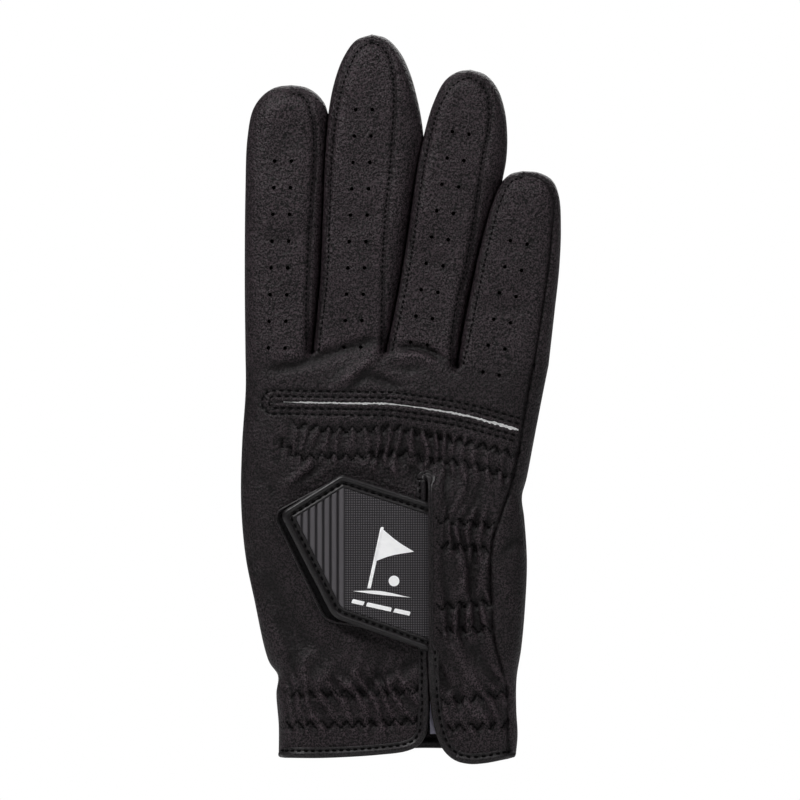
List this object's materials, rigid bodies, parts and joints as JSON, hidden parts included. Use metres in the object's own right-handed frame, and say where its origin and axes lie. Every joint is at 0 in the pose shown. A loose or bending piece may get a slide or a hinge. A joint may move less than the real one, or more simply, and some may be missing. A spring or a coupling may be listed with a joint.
{
  "type": "golf glove",
  "caption": "Right-hand golf glove in black grained leather with vented finger backs, a knuckle flex slot, gathered elastic and a hook-and-loop closure tab over the wrist opening.",
  "frame": {"origin": "centre of the wrist opening, at the level of the cuff's lowest edge", "axes": "+Z from the wrist to the fingertips, +X across the hand to the little finger, -Y out of the back of the hand, +Y out of the palm"},
  "size_m": [0.0966, 0.0289, 0.2179],
  "materials": {
    "leather": "matte grained microfibre leather, black",
    "binding": "smooth satin edge binding, black",
    "elastic": "woven elastic, black",
    "thread": "twisted polyester thread, black",
    "stretch_strip": "knitted stretch strip, white",
    "label": "woven satin label, pale lavender, blank",
    "loop_pile": "loop pile, black",
    "hook_pile": "moulded hooks, black",
    "tab_panel": "moulded soft panel with ribs and a fine grid, dark grey",
    "emblem": "raised transfer, white"
  },
  "bodies": {
    "hand": {"back_leather": "leather", "palm_leather": "leather", "index_side_wrap": "leather", "little_side_wrap": "leather", "knuckle_stretch_strip": "stretch_strip", "knuckle_elastic": "elastic", "upper_flap_elastic": "elastic", "lower_flap_elastic": "elastic", "cuff_elastic_index_side": "elastic", "cuff_elastic_little_side": "elastic", "cuff_elastic_palm_side": "elastic", "size_label": "label", "binding_index_flap": "binding", "binding_opening": "binding", "binding_little_flap_hem": "binding", "binding_palm_hem": "binding", "loop_pad": "loop_pile", "tab_anchor": "leather"},
    "closure_tab": {"hook_pad": "hook_pile", "tab_leather": "leather", "tab_panel": "tab_panel", "tab_rim": "binding", "tab_emblem": "emblem"},
    "index_finger": {"index_back": "leather", "index_front": "leather", "index_side_fold": "leather", "index_fourchette": "leather"},
    "middle_finger": {"middle_back": "leather", "middle_front": "leather", "middle_fourchette_index_side": "leather", "middle_fourchette_ring_side": "leather"},
    "ring_finger": {"ring_back": "leather", "ring_front": "leather", "ring_fourchette_middle_side": "leather", "ring_fourchette_little_side": "leather"},
    "little_finger": {"little_back": "leather", "little_front": "leather", "little_fourchette": "leather", "little_side_fold": "leather"},
    "thumb": {"thumb_outer": "leather", "thumb_inner": "leather", "thumb_wall": "leather"}
  },
  "joints": [
    {"name": "tab_peel", "type": "hinge", "parent": "hand", "child": "closure_tab", "pos_m": [0.0094, -0.0106, 0.0573], "axis": [0, 0, 1], "range_deg": [0, 150]},
    {"name": "index_flex", "type": "hinge", "parent": "hand", "child": "index_finger", "pos_m": [-0.0359, 0, 0.1245], "axis": [-1, 0, 0], "range_deg": [0, 80]},
    {"name": "middle_flex", "type": "hinge", "parent": "hand", "child": "middle_finger", "pos_m": [-0.0136, 0, 0.1245], "axis": [-1, 0, 0], "range_deg": [0, 80]},
    {"name": "ring_flex", "type": "hinge", "parent": "hand", "child": "ring_finger", "pos_m": [0.0082, 0, 0.1245], "axis": [-1, 0, 0], "range_deg": [0, 80]},
    {"name": "little_flex", "type": "hinge", "parent": "hand", "child": "little_finger", "pos_m": [0.0314, 0, 0.12], "axis": [-1, 0, 0], "range_deg": [0, 80]},
    {"name": "thumb_swing", "type": "hinge", "parent": "hand", "child": "thumb", "pos_m": [-0.026, 0.0128, 0.055], "axis": [0, -1, 0], "range_deg": [0, 70]}
  ]
}
